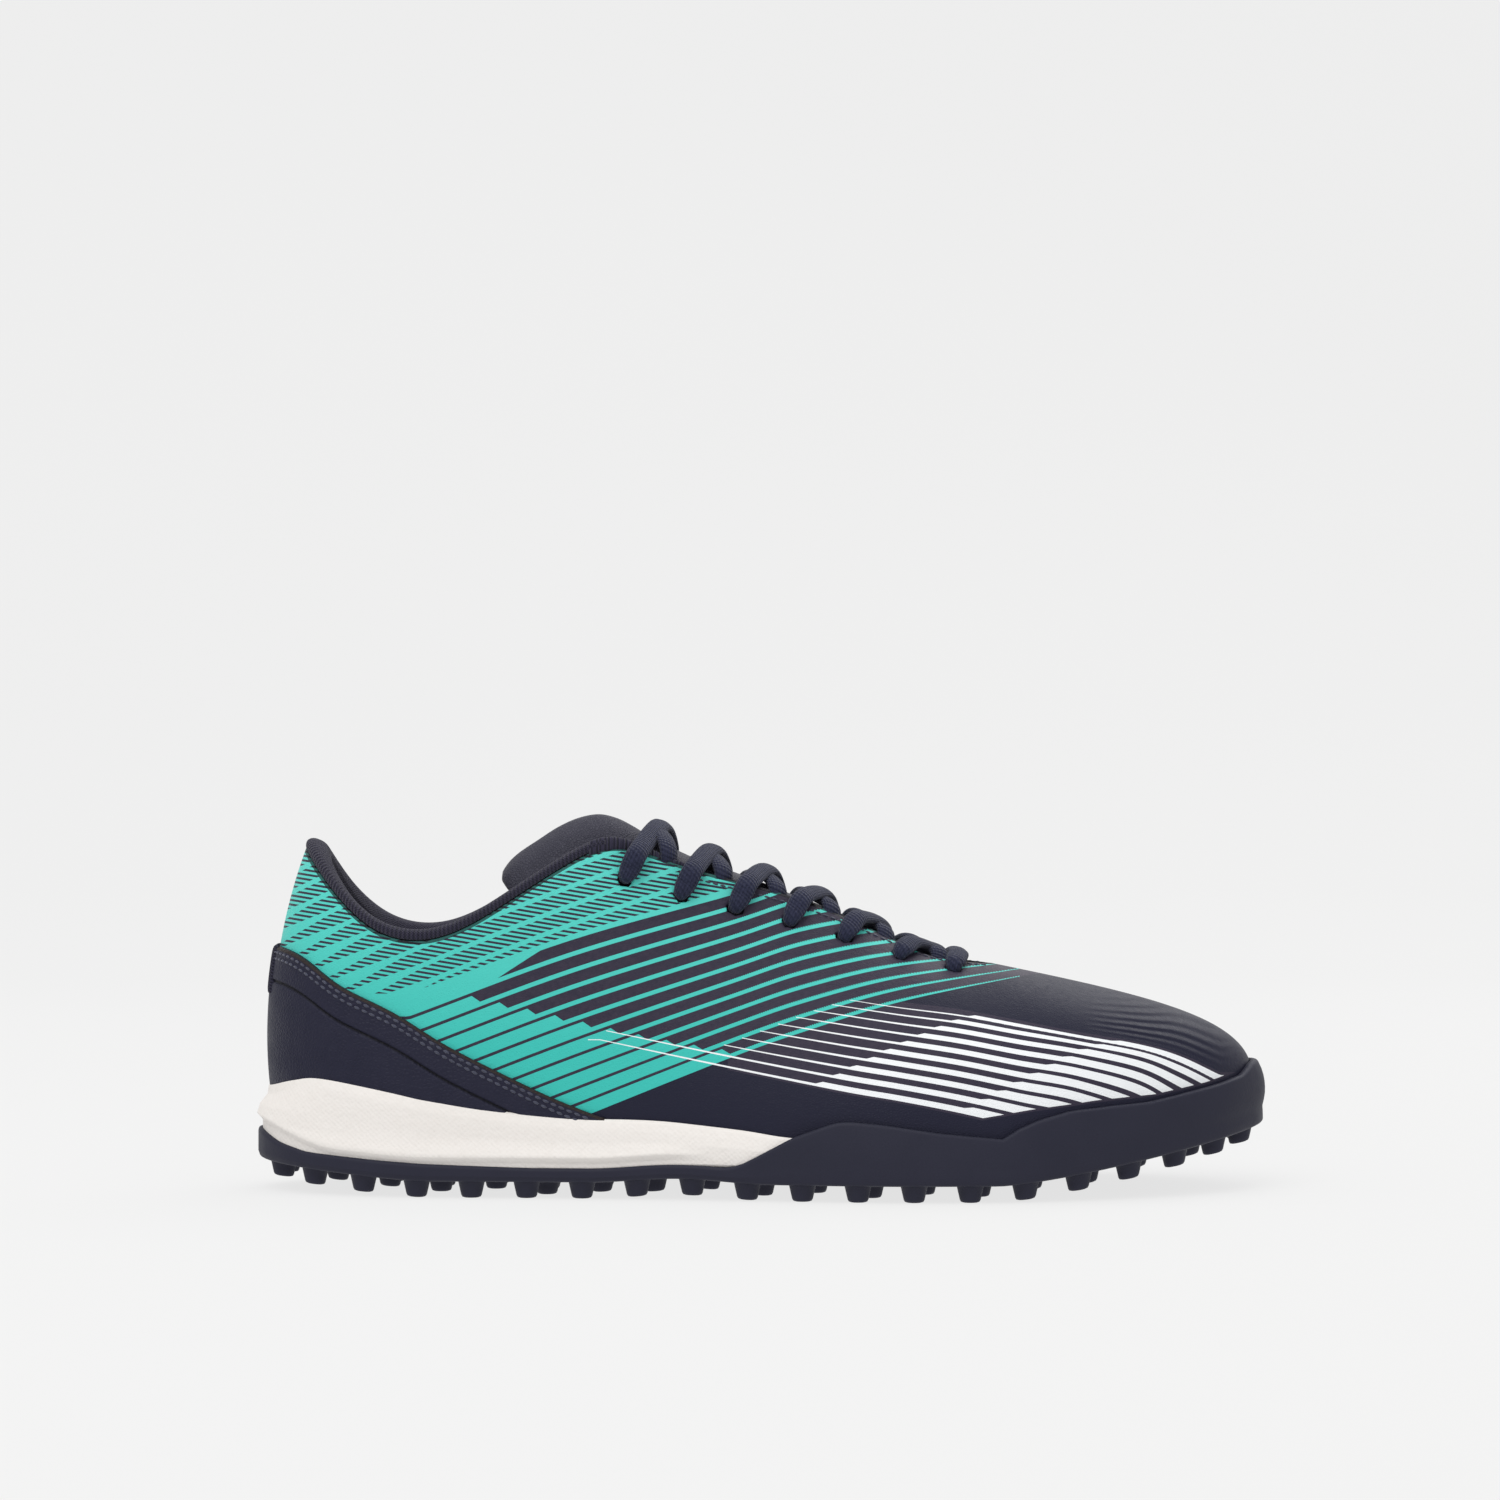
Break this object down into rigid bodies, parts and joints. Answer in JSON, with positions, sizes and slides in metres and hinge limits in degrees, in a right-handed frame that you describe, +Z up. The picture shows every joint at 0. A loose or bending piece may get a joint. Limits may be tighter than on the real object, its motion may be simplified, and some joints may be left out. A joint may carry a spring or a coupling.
{
  "type": "football shoe",
  "caption": "Laced turf football shoe with a hollow upper, padded collar, long tongue, foam heel midsole and a rubber outsole that stands on short studs",
  "frame": {"origin": "On the floor under the middle of the shoe's own box, so the studs of heel and forefoot rest on z = 0", "axes": "+X points to the toe, +Y to the inner (medial) side of this right shoe, +Z up"},
  "size_m": [0.2907, 0.1014, 0.1072],
  "materials": {
    "outsole_rubber": "moulded matt rubber",
    "midsole_foam": "moulded foam with fine raised dots",
    "insole_textile": "knitted sock liner",
    "upper_synthetic": "smooth printed synthetic",
    "counter_synthetic": "matt grained synthetic",
    "collar_textile": "knitted lining",
    "tongue_leather": "fine-grained soft synthetic",
    "lace_textile": "woven flat-oval lace"
  },
  "bodies": {
    "root": {"outsole": "outsole_rubber", "midsole": "midsole_foam", "insole": "insole_textile", "upper": "upper_synthetic", "heel_counter": "counter_synthetic", "collar": "collar_textile", "tongue": "tongue_leather", "lace_crossing_1": "lace_textile", "lace_crossing_2": "lace_textile", "lace_crossing_3": "lace_textile", "lace_crossing_4": "lace_textile", "lace_crossing_5": "lace_textile", "lace_crossing_6": "lace_textile", "lace_bar": "lace_textile"}
  },
  "joints": []
}
